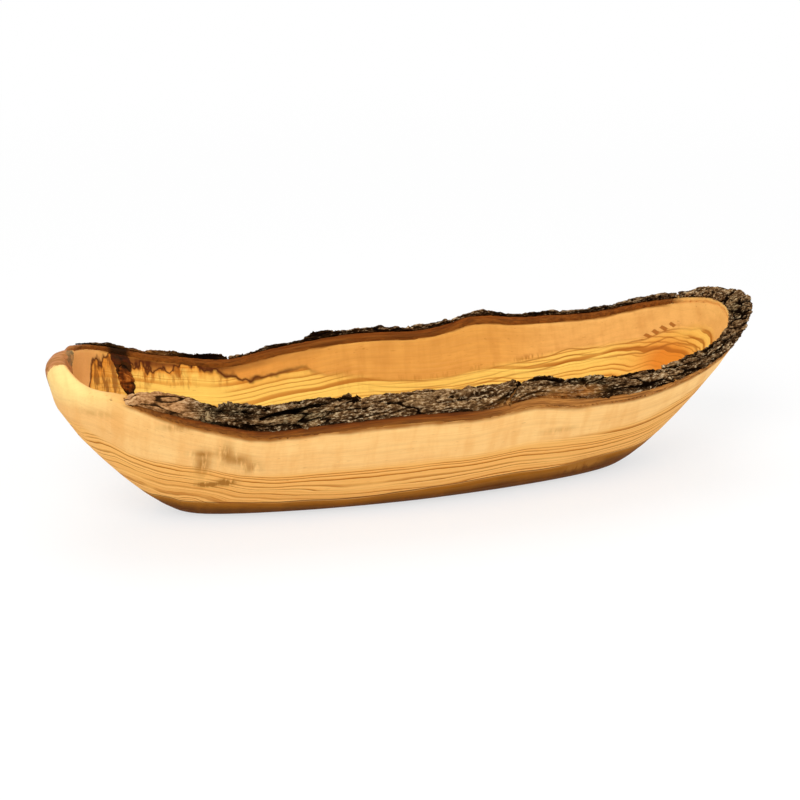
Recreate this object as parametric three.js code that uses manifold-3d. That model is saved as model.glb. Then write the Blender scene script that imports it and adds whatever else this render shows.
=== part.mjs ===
// A boat-shaped bowl carved from half an olive log, with the bark left on along its rim.
// Millimetres, +Z up, +X along the bowl, +Y to its far side, origin in the middle of the flat base.
import * as THREE from "three";
import Module from "manifold-3d";

// Hull: the hewn outside, level outlines that flare upwards from a flat base
const BASE_HALF_LENGTH = 119.5;
const BASE_HALF_WIDTH = 18;
const FLARE_HEIGHT = 80; // the overhangs and walls below are measured at this height
const END_OVERHANG = 77;
const SIDE_OVERHANG = 45.5;
const END_SWEEP = 0.7;
const SIDE_SWEEP = 0.6;
const BASE_FULLNESS = 1.68; // superellipse powers of the outlines: 2 is an ellipse, more is blunter
const RIM_FULLNESS = 2.4;
const SIDE_FULLNESS = 2.2;
const LEFT_TUCK = 12; // how far each end rolls back at the tuck height
const LEFT_TUCK_FROM = 54;
const RIGHT_TUCK = 6;
const RIGHT_TUCK_FROM = 64;
const TUCK_HEIGHT = 90;

// Hollow: scooped from above, with a rounded floor
const FLOOR_THICKNESS = 13;
const SIDE_WALL = 10.5;
const LEFT_END_WALL = 12;
const RIGHT_END_WALL = 9;
const FLOOR_END_MARGIN = 24.5; // from the edge of the base to the edge of the flat of the floor
const FLOOR_SIDE_MARGIN = 8;
const HOLLOW_SWEEP = 0.55;

// Log: the pith runs at base height and bends sideways, to the far side at its right end
const LOG_RADIUS = 82;
const RIGHT_CROOK = 19.5;
const LEFT_CROOK = -6;
const CROOK_REACH = 172; // the crooks are measured this far from the middle

// Swells and waists of the log: how far each rises or sinks, where along the bowl, and how far it spreads
const NOSE_SWELL = 13;
const NOSE_SWELL_AT = -174;
const NOSE_SWELL_SPREAD = 36;
const WAIST_DIP = 4;
const WAIST_AT = -88;
const WAIST_SPREAD = 22;
const BELLY_SWELL = 3;
const BELLY_AT = -12;
const BELLY_SPREAD = 34;
const KNUCKLE_SWELL = 5;
const KNUCKLE_AT = 56;
const KNUCKLE_SPREAD = 19;
const NECK_DIP = 3;
const NECK_AT = 125;
const NECK_SPREAD = 26;
const END_SWELL = 5.5;
const END_SWELL_AT = 198;
const END_SWELL_SPREAD = 22;
const SWELLS = [
  { rise: NOSE_SWELL, at: NOSE_SWELL_AT, spread: NOSE_SWELL_SPREAD },
  { rise: -WAIST_DIP, at: WAIST_AT, spread: WAIST_SPREAD },
  { rise: BELLY_SWELL, at: BELLY_AT, spread: BELLY_SPREAD },
  { rise: KNUCKLE_SWELL, at: KNUCKLE_AT, spread: KNUCKLE_SPREAD },
  { rise: -NECK_DIP, at: NECK_AT, spread: NECK_SPREAD },
  { rise: END_SWELL, at: END_SWELL_AT, spread: END_SWELL_SPREAD },
];

// Rim: the layers that lie on the wood, and how its edges are eased
const LAYER_GAP = 0.3;
const NEAR_INNER_BARK = 5.5;
const END_INNER_BARK = 1.5;
const FAR_INNER_BARK = 3.5;
const INNER_BARK_TAPER = 38; // the inner bark thins to a feather edge over this length at the bare nose
const FEATHER_EDGE = 1;
const EDGE_ROUND = 0.8;
const NOSE_ROUND = 5;
const ROUND_FADE = [0.7, 1.05]; // shares of the way from the bare nose's middle to the bark
const LIP_DROP = 6; // the bare lip dips beside the near bark
const LIP_DROP_ANGLE = -158;
const LIP_DROP_SPREAD_ANGLE = 12;

// Outer bark: thickness by stretch, slants of the plates' ends along the rim, and surface
const WEDGE_BARK = 6;
const THICK_BARK = 7;
const PLAIN_BARK = 3.6;
const END_BARK = 2.6;
const THIN_BARK = 2;
const FLAKE_BARK = 2.8;
const THINNEST_BARK = 1.3;
const DARK_BARK = 2.5;
const SLANT = 6;
const BREAK_SLANT = 12;
const CRACK_SLANT = 34;
const WEDGE_TAPER = 16;
const END_TAPER = 18;
const FAR_TAPER = 24;
const FISSURE = 1.2;
const BARK_PROUD = 0.6; // outer bark stands out from the hull by this much
const END_BULGE_RISE = 2.5; // outer bark is thicker and stands further out round the right tip
const END_BULGE_PROUD = 6.5;
const END_BULGE_ANGLE = 4;
const END_BULGE_SPREAD_ANGLE = 9;
const BARK_EDGE_EASE = 7;
const OUTER_EDGE_SHARE = 0.5; // share of a plate's thickness that is left at the hull
const BARK_RELIEF = 0.9;
const RIDGE_LENGTH = 34;
const RIDGES_ACROSS = 1.1;
const RIDGE_WANDER = 1.3;
const FORK_SHARE = 0.5;
const FORKS_PER_RIDGE = 2.5;

// Where the bark runs, as angles round the rim: 0 is the right tip, 90 the far side, 180 the left tip
const NEAR_BARK_ANGLE = -145.5;
const FAR_BARK_ANGLE = 163;
const INNER_SPLIT_ANGLE = 30;
const PLATES_END_ANGLE = 151;
const OUTER_BARK = [
  { name: "near_tip_bark", from: -144, thick: [WEDGE_BARK, PLAIN_BARK], slant: SLANT, rise: WEDGE_TAPER },
  { name: "near_left_bark", from: -125, thick: [THICK_BARK, THICK_BARK], slant: SLANT },
  { name: "near_middle_bark", from: -103, thick: [PLAIN_BARK, PLAIN_BARK], slant: CRACK_SLANT },
  { name: "near_right_bark", from: -79, thick: [PLAIN_BARK, PLAIN_BARK], slant: BREAK_SLANT },
  { name: "right_end_bark", from: -44, thick: [PLAIN_BARK, END_BARK], slant: -SLANT, fall: END_TAPER },
  { name: "far_right_bark", from: 30, thick: [THIN_BARK, THIN_BARK], slant: -SLANT },
  { name: "far_middle_bark", from: 79, thick: [THIN_BARK, FLAKE_BARK], slant: SLANT },
  { name: "far_thin_bark", from: 102, thick: [THINNEST_BARK, THINNEST_BARK], slant: -SLANT },
  { name: "far_left_bark", from: 116, thick: [DARK_BARK, DARK_BARK], slant: SLANT },
  { name: "far_tip_bark", from: 136, thick: [DARK_BARK, THINNEST_BARK], slant: -SLANT, fall: FAR_TAPER },
];

// Ingrown bark: a lens-shaped seam set into the hollow's far wall near the left end
const SEAM_TOP_ANGLE = 142.8;
const SEAM_FOOT_ANGLE = 146.6;
const SEAM_FROM = 59;
const SEAM_TO = 75;
const SEAM_HALF_WIDTH = 4.5;
const SEAM_DEPTH = 4;
const SEAM_TIP = 0.3; // share of the half width left at the seam's two ends
const SEAM_RECESS = 0.2;
const SEAM_ROWS = 6;
const SEAM_COLUMNS = 2;

// Facets
const WOOD_STATIONS = 120;
const BARK_STEP = 6;
const BARK_COLUMNS = 4;
const INNER_BARK_COLUMNS = 2;
const WALL_ROWS = [0, 0.03, 0.09, 0.18, 0.3, 0.44, 0.6, 0.8, 1];
const ROUND_ROWS = [1 / 3, 2 / 3];

const RIM_SAMPLES = 2880;
const TOLERANCE = 1e-6;
const RADIANS = Math.PI / 180;
const blend = THREE.MathUtils.lerp;
const signedPower = (value, power) => Math.sign(value) * Math.abs(value) ** power;

function outline(angle, halfLength, halfWidth, fullness) {
  const x = halfLength * signedPower(Math.cos(angle), 2 / fullness);
  const y = halfWidth * signedPower(Math.sin(angle), 2 / SIDE_FULLNESS);
  return new THREE.Vector2(x, y);
}

const fullnessAt = (z) => blend(BASE_FULLNESS, RIM_FULLNESS, z / FLARE_HEIGHT);

function tuckAt(angle, z) {
  const [tuck, from] = Math.cos(angle) < 0 ? [LEFT_TUCK, LEFT_TUCK_FROM] : [RIGHT_TUCK, RIGHT_TUCK_FROM];
  return tuck * (Math.max(0, z - from) / (TUCK_HEIGHT - from)) ** 2;
}

function hullAt(angle, z, grow = 0) {
  const up = z / FLARE_HEIGHT;
  const halfLength = BASE_HALF_LENGTH + END_OVERHANG * up ** END_SWEEP - tuckAt(angle, z);
  const halfWidth = BASE_HALF_WIDTH + SIDE_OVERHANG * up ** SIDE_SWEEP;
  const plan = outline(angle, halfLength + grow, halfWidth + grow, fullnessAt(z));
  return new THREE.Vector3(plan.x, plan.y, z);
}

function hollowAt(angle, z, grow = 0) {
  const up = ((z - FLOOR_THICKNESS) / (FLARE_HEIGHT - FLOOR_THICKNESS)) ** HOLLOW_SWEEP;
  const endWall = Math.cos(angle) < 0 ? LEFT_END_WALL : RIGHT_END_WALL;
  const rimHalfLength = BASE_HALF_LENGTH + END_OVERHANG - endWall;
  const rimHalfWidth = BASE_HALF_WIDTH + SIDE_OVERHANG - SIDE_WALL;
  const halfLength = blend(BASE_HALF_LENGTH - FLOOR_END_MARGIN, rimHalfLength, up) - tuckAt(angle, z);
  const halfWidth = blend(BASE_HALF_WIDTH - FLOOR_SIDE_MARGIN, rimHalfWidth, up);
  const plan = outline(angle, halfLength + grow, halfWidth + grow, fullnessAt(z));
  return new THREE.Vector3(plan.x, plan.y, z);
}

// The log's surface under the bark, whose radius swells and narrows along the length
function woodRadius(x) {
  const swell = (sum, { at, rise, spread }) => sum + rise * Math.exp(-(((x - at) / spread) ** 2));
  return SWELLS.reduce(swell, LOG_RADIUS);
}

const pithAt = (x) => (x < 0 ? LEFT_CROOK : RIGHT_CROOK) * (x / CROOK_REACH) ** 2;

function depthOf(point) {
  return Math.hypot(point.y - pithAt(point.x), point.z) - woodRadius(point.x);
}

// Where a wall of the bowl reaches a given depth above the log's surface
function wallPoint(wallAt, angle, depth, grow) {
  let low = FLOOR_THICKNESS;
  let high = 2 * LOG_RADIUS;
  while (high - low > TOLERANCE) {
    const middle = (low + high) / 2;
    if (depthOf(wallAt(angle, middle, grow)) < depth) low = middle;
    else high = middle;
  }
  return wallAt(angle, low, grow);
}

// A point on a layer of the rim: across runs from 0 at the hull to 1 at the hollow
function rimPoint(angle, across, depth, proud = 0) {
  const outer = wallPoint(hullAt, angle, depth, proud);
  const inner = wallPoint(hollowAt, angle, depth, 0);
  if (across === 0) return outer;
  if (across === 1) return inner;
  const point = outer.lerp(inner, across);
  const radius = woodRadius(point.x) + depth;
  point.z = Math.sqrt(radius ** 2 - (point.y - pithAt(point.x)) ** 2);
  return point;
}

// Even steps round the rim: angles against length along the hull's outline at the flare height
const rimAngles = [];
const rimLengths = [];
for (let i = 0; i <= RIM_SAMPLES; i += 1) {
  const angle = blend(-Math.PI, Math.PI, i / RIM_SAMPLES);
  const before = hullAt(rimAngles.at(-1) ?? angle, FLARE_HEIGHT);
  rimLengths.push((rimLengths.at(-1) ?? 0) + before.distanceTo(hullAt(angle, FLARE_HEIGHT)));
  rimAngles.push(angle);
}

function readTable(keys, values, key) {
  const above = keys.findIndex((k) => k >= key);
  const high = above < 1 ? 1 : above;
  const share = (key - keys[high - 1]) / (keys[high] - keys[high - 1]);
  return blend(values[high - 1], values[high], share);
}

const lengthAt = (degrees) => readTable(rimAngles, rimLengths, degrees * RADIANS);
const angleAt = (length) => readTable(rimLengths, rimAngles, length);

function solidOf(points, faces) {
  const geometry = new THREE.BufferGeometry();
  geometry.setAttribute("position", new THREE.Float32BufferAttribute(points.flatMap((p) => p.toArray()), 3));
  geometry.setIndex(faces.flat());
  return geometry;
}

// A closed skin through level loops, capped by strips across the first and the last loop
function skin(loops) {
  const count = loops[0].length;
  const faces = [];
  const quad = (a, b, c, d) => faces.push([a, b, c], [a, c, d]);
  for (let row = 0; row + 1 < loops.length; row += 1) {
    for (let k = 0; k < count; k += 1) {
      const next = (k + 1) % count;
      const here = row * count;
      quad(here + k, here + next, here + count + next, here + count + k);
    }
  }
  const cap = (start, up) => {
    for (let k = 0; k < count / 2; k += 1) {
      const strip = [k, k + 1, count - k - 1, (count - k) % count].map((i) => start + i);
      const corners = strip.filter((corner, i) => strip.indexOf(corner) === i);
      if (!up) corners.reverse();
      faces.push([corners[0], corners[1], corners[2]]);
      if (corners.length > 3) faces.push([corners[0], corners[2], corners[3]]);
    }
  };
  cap(0, false);
  cap((loops.length - 1) * count, true);
  return solidOf(loops.flat(), faces);
}

// A closed slab between two grids of points, numbered along the rim and then across it
function slab(bottom, top) {
  const rows = top.length;
  const columns = top[0].length;
  const id = (i, j) => i * columns + j;
  const lift = rows * columns;
  const faces = [];
  const quad = (a, b, c, d) => faces.push([a, b, c], [a, c, d]);
  for (let i = 0; i + 1 < rows; i += 1) {
    for (let j = 0; j + 1 < columns; j += 1) {
      quad(lift + id(i, j), lift + id(i + 1, j), lift + id(i + 1, j + 1), lift + id(i, j + 1));
      quad(id(i, j), id(i, j + 1), id(i + 1, j + 1), id(i + 1, j));
    }
    quad(id(i, 0), id(i + 1, 0), lift + id(i + 1, 0), lift + id(i, 0));
    const last = columns - 1;
    quad(id(i + 1, last), id(i, last), lift + id(i, last), lift + id(i + 1, last));
  }
  for (let j = 0; j + 1 < columns; j += 1) {
    const last = rows - 1;
    quad(id(0, j + 1), id(0, j), lift + id(0, j), lift + id(0, j + 1));
    quad(id(last, j), id(last, j + 1), lift + id(last, j + 1), lift + id(last, j));
  }
  return solidOf([...bottom.flat(), ...top.flat()], faces);
}

// The rim's edges are rounded at the bare nose and only eased under the bark
function edgeRound(angle) {
  const middle = (FAR_BARK_ANGLE + NEAR_BARK_ANGLE + 360) / 2;
  const bareHalf = (NEAR_BARK_ANGLE + 360 - FAR_BARK_ANGLE) / 2;
  const degrees = (angle / RADIANS + 360) % 360;
  const away = Math.abs(degrees - middle) / bareHalf;
  const bare = 1 - THREE.MathUtils.smoothstep(away, ...ROUND_FADE);
  return blend(EDGE_ROUND, NOSE_ROUND, bare);
}

// A smooth hump round the rim: 1 at its own angle, in degrees, and falling away on both sides
function hump(angle, at, spread) {
  return Math.exp(-(((angle / RADIANS - at) / spread) ** 2));
}

// Depth of the wood's top: the log's surface, apart from the dip of the bare lip
const crestDepth = (angle) => -LIP_DROP * hump(angle, LIP_DROP_ANGLE, LIP_DROP_SPREAD_ANGLE);

function woodSection(angle) {
  const depth = crestDepth(angle);
  const outer = rimPoint(angle, 0, depth);
  const inner = rimPoint(angle, 1, depth);
  const ease = edgeRound(angle);
  const share = ease / outer.distanceTo(inner);
  const arc = (from, edge, to) => {
    const curve = new THREE.QuadraticBezierCurve3(from, edge, to);
    return ROUND_ROWS.map((s) => curve.getPoint(s));
  };
  const outerTop = outer.z - ease;
  const innerTop = inner.z - ease;
  const hull = WALL_ROWS.map((s) => hullAt(angle, outerTop * s));
  const hollow = WALL_ROWS.map((s) => hollowAt(angle, blend(FLOOR_THICKNESS, innerTop, s))).reverse();
  const crest = [share, 0.5, 1 - share].map((across) => rimPoint(angle, across, depth));
  return [
    ...hull,
    ...arc(hull.at(-1), outer, crest[0]),
    ...crest,
    ...arc(crest[2], inner, hollow[0]),
    ...hollow,
  ];
}

function woodSolid() {
  const rimLength = rimLengths.at(-1);
  const sections = [];
  for (let k = 0; k < WOOD_STATIONS; k += 1) {
    sections.push(woodSection(angleAt((k / WOOD_STATIONS) * rimLength)));
  }
  return skin(sections[0].map((_, row) => sections.map((section) => section[row])));
}

// A layer that lies along the rim between two angles, with slanted ends and half a gap at each
function rimLayer({ from, to, gap, slant, columns, floor, thickness, proud }) {
  const start = lengthAt(from) + gap / 2;
  const end = lengthAt(to) - gap / 2;
  const rows = Math.ceil((end - start) / BARK_STEP);
  const bottom = [];
  const top = [];
  for (let i = 0; i <= rows; i += 1) {
    const along = blend(start, end, i / rows);
    bottom.push([]);
    top.push([]);
    for (let j = 0; j <= columns; j += 1) {
      const across = j / columns;
      const skew = blend(slant[0], slant[1], i / rows) * (across - 0.5);
      const angle = angleAt(along + skew);
      const fromEnds = [along - start, end - along];
      const depth = floor(angle);
      bottom[i].push(rimPoint(angle, across, depth, proud(angle)));
      top[i].push(rimPoint(angle, across, depth + thickness(fromEnds, across, angle), proud(angle)));
    }
  }
  return slab(bottom, top);
}

// The inner bark is thickest on the near side and thins to a feather edge at the bare nose
function innerThickness(angle) {
  const side = angle < 0 ? NEAR_INNER_BARK : FAR_INNER_BARK;
  const full = blend(END_INNER_BARK, side, Math.sin(angle) ** 2);
  const length = lengthAt(angle / RADIANS);
  const toBare = Math.min(length - lengthAt(NEAR_BARK_ANGLE), lengthAt(FAR_BARK_ANGLE) - length);
  return blend(FEATHER_EDGE, full, THREE.MathUtils.smoothstep(toBare, 0, INNER_BARK_TAPER));
}

function innerBark(from, to) {
  const floor = (angle) => crestDepth(angle) + LAYER_GAP;
  const thickness = (fromEnds, across, angle) => innerThickness(angle);
  const ends = { from, to, gap: LAYER_GAP, slant: [0, 0] };
  return rimLayer({ ...ends, columns: INNER_BARK_COLUMNS, floor, thickness, proud: () => 0 });
}

// Ridges run along the log and wander, as the bark of an old olive does
function ridge(angle, across) {
  const along = lengthAt(angle / RADIANS) / RIDGE_LENGTH;
  const turns = 2 * Math.PI;
  const wander = Math.sin(turns * along) + FORK_SHARE * Math.sin(turns * FORKS_PER_RIDGE * along);
  return BARK_RELIEF * Math.sin(turns * RIDGES_ACROSS * across + RIDGE_WANDER * wander);
}

function outerBark(plate, next) {
  const { from, thick, slant, rise = BARK_EDGE_EASE, fall = BARK_EDGE_EASE } = plate;
  const bulge = (angle) => hump(angle, END_BULGE_ANGLE, END_BULGE_SPREAD_ANGLE);
  const thickness = (fromEnds, across, angle) => {
    const start = THREE.MathUtils.smoothstep(fromEnds[0], -BARK_EDGE_EASE, rise);
    const end = THREE.MathUtils.smoothstep(fromEnds[1], -BARK_EDGE_EASE, fall);
    const edge = blend(OUTER_EDGE_SHARE, 1, THREE.MathUtils.smoothstep(across, 0, 0.5));
    const plain = blend(thick[0], thick[1], fromEnds[0] / (fromEnds[0] + fromEnds[1]));
    const full = plain + END_BULGE_RISE * bulge(angle) + ridge(angle, across);
    return Math.max(FEATHER_EDGE, full * start * end * edge);
  };
  const floor = (angle) => crestDepth(angle) + innerThickness(angle) + 2 * LAYER_GAP;
  const proud = (angle) => BARK_PROUD + END_BULGE_PROUD * bulge(angle);
  const ends = { from, to: next.from, gap: FISSURE, slant: [slant, next.slant] };
  return rimLayer({ ...ends, columns: BARK_COLUMNS, floor, thickness, proud });
}

// The seam follows the hollow's wall: it is widest at mid height and narrows to both ends
function seamSolid(front, back, clearance) {
  const bottom = [];
  const top = [];
  for (let i = 0; i <= SEAM_ROWS; i += 1) {
    const height = blend(SEAM_FROM - clearance, SEAM_TO + clearance, i / SEAM_ROWS);
    const swell = blend(SEAM_TIP, 1, Math.sin((Math.PI * i) / SEAM_ROWS));
    const halfWidth = SEAM_HALF_WIDTH * swell + clearance;
    const middle = lengthAt(blend(SEAM_FOOT_ANGLE, SEAM_TOP_ANGLE, i / SEAM_ROWS));
    bottom.push([]);
    top.push([]);
    for (let j = 0; j <= SEAM_COLUMNS; j += 1) {
      const angle = angleAt(middle + halfWidth * ((2 * j) / SEAM_COLUMNS - 1));
      bottom[i].push(hollowAt(angle, height, back));
      top[i].push(hollowAt(angle, height, front));
    }
  }
  return slab(bottom, top);
}

const wasm = await Module();
wasm.setup();

function manifoldOf(geometry) {
  const vertProperties = new Float32Array(geometry.getAttribute("position").array);
  const triVerts = new Uint32Array(geometry.getIndex().array);
  return new wasm.Manifold(new wasm.Mesh({ numProp: 3, vertProperties, triVerts }));
}

function cut(blank, tool) {
  const { vertProperties, triVerts, numProp } = manifoldOf(blank).subtract(manifoldOf(tool)).getMesh();
  const points = [];
  for (let i = 0; i < vertProperties.length; i += numProp) {
    points.push(new THREE.Vector3().fromArray(vertProperties, i));
  }
  return solidOf(points, [...triVerts]);
}

const bowl = new THREE.Group();

function add(name, geometry, color, roughness) {
  geometry.computeVertexNormals();
  const mesh = new THREE.Mesh(geometry, new THREE.MeshStandardMaterial({ color, roughness, metalness: 0 }));
  mesh.name = name;
  bowl.add(mesh);
}

const seamCut = seamSolid(-SEAM_DEPTH, SEAM_DEPTH + LAYER_GAP, LAYER_GAP);
add("wood_body", cut(woodSolid(), seamCut), 0xd9a55b, 0.45);
add("bark_seam", seamSolid(SEAM_RECESS, SEAM_DEPTH, 0), 0x4a2a16, 0.8);
add("near_inner_bark", innerBark(NEAR_BARK_ANGLE, INNER_SPLIT_ANGLE), 0x9a5a26, 0.6);
add("far_inner_bark", innerBark(INNER_SPLIT_ANGLE, FAR_BARK_ANGLE), 0x8c4f22, 0.6);
const platesEnd = { from: PLATES_END_ANGLE, slant: 0 };
OUTER_BARK.forEach((plate, i) => {
  add(plate.name, outerBark(plate, OUTER_BARK[i + 1] ?? platesEnd), 0x3f3024, 0.95);
});

export default bowl;
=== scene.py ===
# %% [markdown]
# # A bark-edged olive wood bowl
# The real bowl is half of an olive log, hollowed out like a boat, with its bark left on as a rim.
# The packed model gives every layer at its true size. This lesson gives those layers their surfaces:
# carved and oiled wood, fibrous inner bark and a crust of rough outer bark.
# The frame is loaded first and stays as it is, because each piece made below is fitted to it.

# %% Load the packed bowl
import math

import bmesh
import bpy
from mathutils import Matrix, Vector, noise


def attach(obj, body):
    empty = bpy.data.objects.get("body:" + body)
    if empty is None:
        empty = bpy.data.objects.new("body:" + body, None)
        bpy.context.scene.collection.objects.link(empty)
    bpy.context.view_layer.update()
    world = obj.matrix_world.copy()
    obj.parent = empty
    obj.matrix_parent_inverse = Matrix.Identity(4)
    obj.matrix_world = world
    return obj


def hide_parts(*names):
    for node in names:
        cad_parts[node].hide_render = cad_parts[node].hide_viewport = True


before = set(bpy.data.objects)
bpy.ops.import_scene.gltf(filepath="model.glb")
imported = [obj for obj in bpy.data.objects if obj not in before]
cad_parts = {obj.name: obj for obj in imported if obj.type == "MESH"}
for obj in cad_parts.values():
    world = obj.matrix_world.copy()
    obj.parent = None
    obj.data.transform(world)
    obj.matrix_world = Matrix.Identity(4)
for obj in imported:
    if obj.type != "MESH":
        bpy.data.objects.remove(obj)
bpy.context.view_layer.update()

MM = 0.001
print("nodes:", ", ".join(sorted(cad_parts)))

# %% [markdown]
# ## Camera
# The photograph looks down at the bowl from the front and a little from the left, through a long lens.
# A camera on a sphere round the bowl, aimed at its middle, gives the same view with four values.
# The small shift puts the bowl where it stands in the picture without turning the camera.

# %% Camera
AZIMUTH = math.radians(-15)
ELEVATION = math.radians(23)
CAMERA_DISTANCE = 1.2
CAMERA_TARGET = Vector((-2.85, 0, 45)) * MM
CAMERA_LENS = 99.36
CAMERA_SENSOR = 36
CAMERA_SHIFT = (0.00304, 0.0149)

toward_camera = Vector((
    math.sin(AZIMUTH) * math.cos(ELEVATION),
    -math.cos(AZIMUTH) * math.cos(ELEVATION),
    math.sin(ELEVATION),
))
camera_data = bpy.data.cameras.new("camera")
camera_data.lens = CAMERA_LENS
camera_data.sensor_width = CAMERA_SENSOR
camera_data.shift_x, camera_data.shift_y = CAMERA_SHIFT
camera = bpy.data.objects.new("camera", camera_data)
camera.location = CAMERA_TARGET + CAMERA_DISTANCE * toward_camera
camera.rotation_euler = (-toward_camera).to_track_quat("-Z", "Y").to_euler()
bpy.context.scene.collection.objects.link(camera)
bpy.context.scene.camera = camera
print("camera at, mm:", [round(c / MM) for c in camera.location])

# %% [markdown]
# ## Wiring shader nodes
# Every finish below is a small network of shader nodes. Writing each link by hand hides the idea behind
# the plumbing, so one helper adds a node, fills its inputs and hands back its output socket.
# An input may be a number, a colour or another node's output, and the helper sees which it is.

# %% Helper that adds nodes and wires them
class Wiring:
    """Adds nodes to one tree and wires them as they are made."""

    def __init__(self, tree):
        self.tree = tree

    def feed(self, socket, value):
        if isinstance(value, bpy.types.NodeSocket):
            self.tree.links.new(value, socket)
        elif value is not None:
            socket.default_value = value

    def node(self, kind, inputs=None, **settings):
        made = self.tree.nodes.new(kind)
        for name, value in settings.items():
            setattr(made, name, value)
        for key, value in (inputs or {}).items():
            self.feed(made.inputs[key], value)
        return made

    def attribute(self, name, output="Fac"):
        return self.node("ShaderNodeAttribute", attribute_name=name).outputs[output]

    def math(self, operation, *values, clamp=False):
        inputs = dict(enumerate(values))
        return self.node("ShaderNodeMath", inputs, operation=operation, use_clamp=clamp).outputs[0]

    def stretch(self, vector, sizes):
        """Divides a vector by the size that one grain of a pattern has each way."""
        inputs = {0: vector, 1: [1 / size for size in sizes]}
        return self.node("ShaderNodeVectorMath", inputs, operation="MULTIPLY").outputs[0]

    def noise(self, vector, detail=2.0, roughness=0.5, seed=0.0):
        inputs = {"Vector": vector, "W": seed, "Scale": 1.0, "Detail": detail, "Roughness": roughness}
        return self.node("ShaderNodeTexNoise", inputs, noise_dimensions="4D").outputs["Fac"]

    def line_noise(self, value, detail=1.0, roughness=0.5):
        inputs = {"W": value, "Scale": 1.0, "Detail": detail, "Roughness": roughness}
        return self.node("ShaderNodeTexNoise", inputs, noise_dimensions="1D").outputs["Fac"]

    def smooth(self, value, low, high, start=0.0, end=1.0):
        inputs = {0: value, 1: low, 2: high, 3: start, 4: end}
        return self.node("ShaderNodeMapRange", inputs, interpolation_type="SMOOTHSTEP").outputs[0]

    def ridge(self, value, middle, width):
        """1 where a value is at the middle, falling to 0 at the width on either side."""
        away = self.math("ABSOLUTE", self.math("SUBTRACT", value, middle))
        return self.smooth(away, width, 0.0)

    def sway(self, vector, sizes, amount, seed=0.0, detail=2.0):
        """Noise centred on zero, as a distance."""
        centred = self.math("SUBTRACT", self.noise(self.stretch(vector, sizes), detail, 0.5, seed), 0.5)
        return self.math("MULTIPLY", centred, amount)

    def mix(self, share, first, second, blend="MIX"):
        inputs = {0: share, 6: first, 7: second}
        made = self.node("ShaderNodeMix", inputs, data_type="RGBA", blend_type=blend, clamp_factor=True)
        return made.outputs[2]

    def tint(self, colour, share, strength, other):
        """Mixes another colour into one by a mask and a strength."""
        return self.mix(self.math("MULTIPLY", share, strength), colour, other)

    def ramp(self, value, stops):
        made = self.node("ShaderNodeValToRGB", {0: value})
        elements = made.color_ramp.elements
        for place, _ in stops[2:]:
            elements.new(place)
        for element, (place, colour) in zip(elements, sorted(stops)):
            element.position = place
            element.color = colour
        return made.outputs[0]


print("Wiring has", len([name for name in vars(Wiring) if name[0] != "_"]), "ways to add a node")


# %% Helpers for node groups and materials
def new_group(name, inputs, outputs):
    """A shader node group with named sockets; returns its wiring, its inputs and its output node."""
    tree = bpy.data.node_groups.new(name, "ShaderNodeTree")
    for socket, kind in inputs.items():
        tree.interface.new_socket(name=socket, in_out="INPUT", socket_type="NodeSocket" + kind)
    for socket, kind in outputs.items():
        tree.interface.new_socket(name=socket, in_out="OUTPUT", socket_type="NodeSocket" + kind)
    wiring = Wiring(tree)
    return wiring, wiring.node("NodeGroupInput").outputs, wiring.node("NodeGroupOutput").inputs


def use_group(wiring, name, inputs):
    placed = wiring.node("ShaderNodeGroup", node_tree=bpy.data.node_groups[name])
    for key, value in inputs.items():
        wiring.feed(placed.inputs[key], value)
    return placed.outputs


def new_material(name, roughness, specular=0.5):
    """An opaque Principled material; returns it, its wiring and its shader's inputs."""
    material = bpy.data.materials.new(name)
    material.use_nodes = True
    material.node_tree.nodes.clear()
    wiring = Wiring(material.node_tree)
    shader = wiring.node("ShaderNodeBsdfPrincipled")
    shader.inputs["Roughness"].default_value = roughness
    shader.inputs["Specular IOR Level"].default_value = specular
    output = wiring.node("ShaderNodeOutputMaterial")
    wiring.feed(output.inputs["Surface"], shader.outputs[0])
    return material, wiring, shader.inputs


def rgb(red, green, blue):
    return (red, green, blue, 1.0)


print("pure red is written", rgb(1, 0, 0))

# %% [markdown]
# ## The log inside the bowl
# Everything that shows on this bowl comes from the log it was cut from: rings run round the pith, the
# pale sapwood lies outside the golden heartwood, and bark covers the lot. So each point of a surface is
# described by its place in the log: how far along, how far round, and how deep under the bark.
# The log's bends and swells are the ones that shaped the packed model, repeated here in millimetres.

# %% Place of a point in the log
LOG_RADIUS = 82
LEFT_CROOK = -6
RIGHT_CROOK = 19.5
CROOK_REACH = 172
PITH_DROP = 3
LOG_SWELLS = [(-174, 13, 36), (-88, -4, 22), (-12, 3, 34), (56, 5, 19), (125, -3, 26), (198, 5.5, 22)]


def wood_radius(x):
    swells = (rise * math.exp(-(((x - at) / spread) ** 2)) for at, rise, spread in LOG_SWELLS)
    return LOG_RADIUS + sum(swells)


def pith_at(x):
    return (LEFT_CROOK if x < 0 else RIGHT_CROOK) * (x / CROOK_REACH) ** 2


def log_place(x, y, z):
    """Millimetres along the log, round it and under its bark (negative above the wood)."""
    aside = y - pith_at(x)
    height = z + PITH_DROP
    radius = math.hypot(aside, height)
    swell = wood_radius(x) + PITH_DROP
    around = math.atan2(aside, height) * LOG_RADIUS
    return x, around, LOG_RADIUS * (1 - radius / swell)


def smoothstep(low, high, value):
    share = min(1.0, max(0.0, (value - low) / (high - low)))
    return share * share * (3 - 2 * share)


def along_knots(knots, x):
    """A smooth value along the bowl through a few (x, value) knots."""
    if x <= knots[0][0]:
        return knots[0][1]
    for (x0, v0), (x1, v1) in zip(knots, knots[1:]):
        if x <= x1:
            return v0 + (v1 - v0) * smoothstep(x0, x1, x)
    return knots[-1][1]


print("radius of the log, mm:", [round(wood_radius(x), 1) for x in (-180, -90, 0, 90, 180)])

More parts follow.
